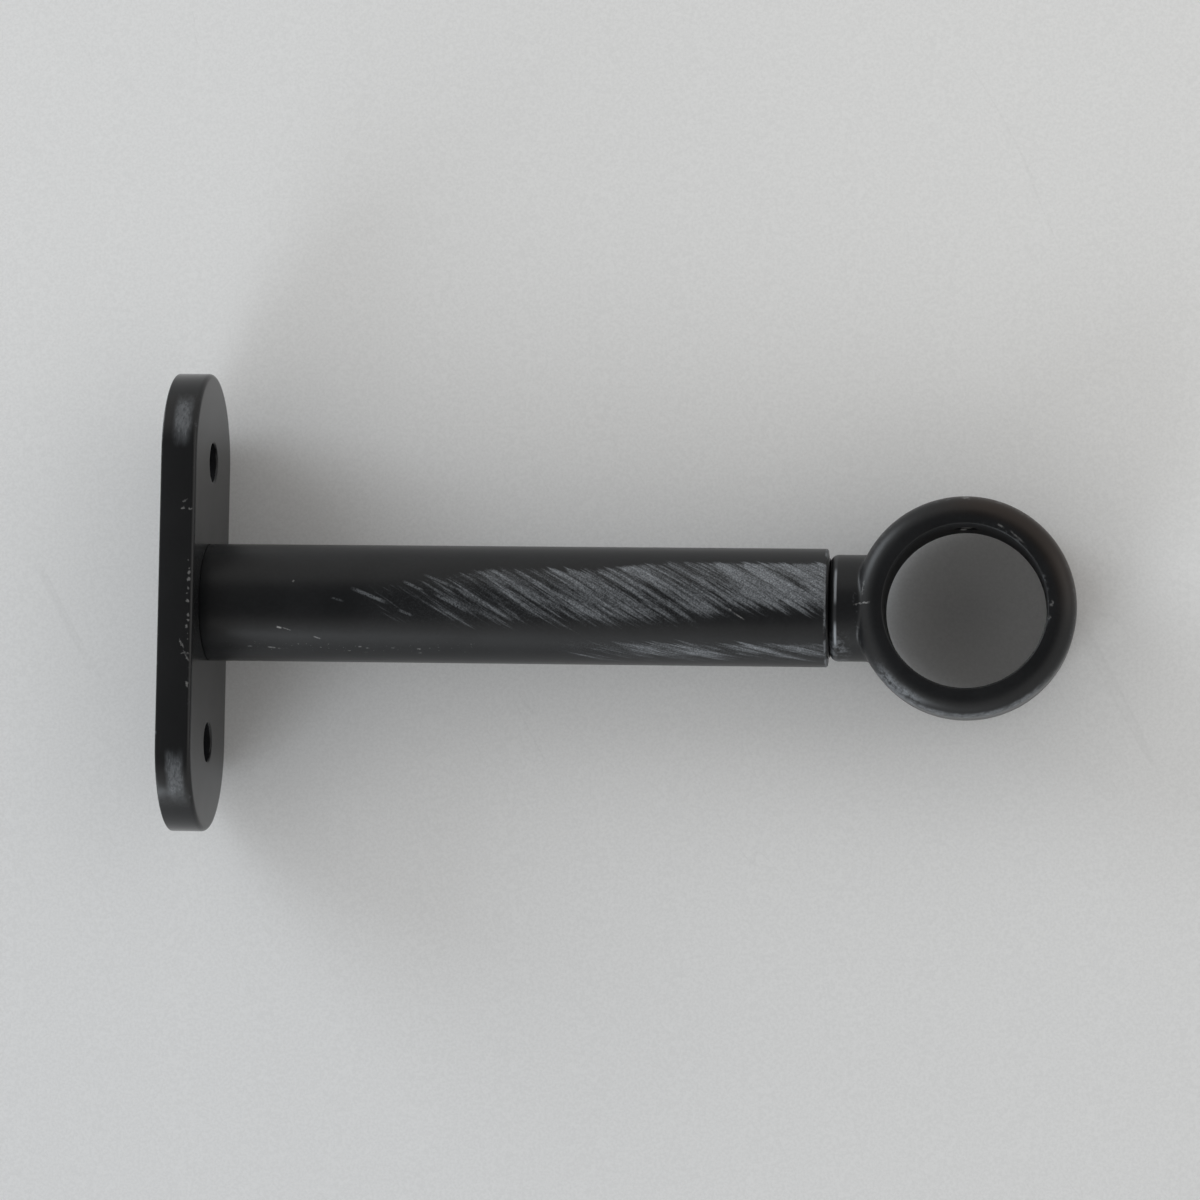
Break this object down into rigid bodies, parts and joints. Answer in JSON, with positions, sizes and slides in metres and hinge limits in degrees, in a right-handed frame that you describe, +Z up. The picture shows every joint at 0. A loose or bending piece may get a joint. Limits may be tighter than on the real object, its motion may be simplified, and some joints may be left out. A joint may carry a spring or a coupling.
{
  "type": "curtain pole bracket",
  "caption": "Curtain pole bracket with an oblong wall plate, a straight round tube arm and a ring that the pole passes through, clamped by a set screw.",
  "frame": {"origin": "centre of the wall plate's back face, which lies on the wall", "axes": "+X out from the wall along the arm, +Z up along the wall plate, Y along the pole"},
  "size_m": [0.1534, 0.03, 0.0784],
  "materials": {
    "black_paint": "satin black paint, worn at the edges",
    "brushed_black_paint": "satin black paint with hand-brushed silver streaks",
    "rubbed_black_paint": "satin black paint, rubbed silver at the rim",
    "bright_steel": "turned, zinc plated",
    "dark_steel": "blackened",
    "worn_steel": "blackened, bright at the cup point"
  },
  "bodies": {
    "root": {"wall_plate": "black_paint", "arm_tube": "brushed_black_paint", "ring_head": "rubbed_black_paint", "rear_plug": "bright_steel", "front_plug": "bright_steel", "plate_screw": "dark_steel", "head_stud": "bright_steel", "grub_screw": "worn_steel"}
  },
  "joints": []
}
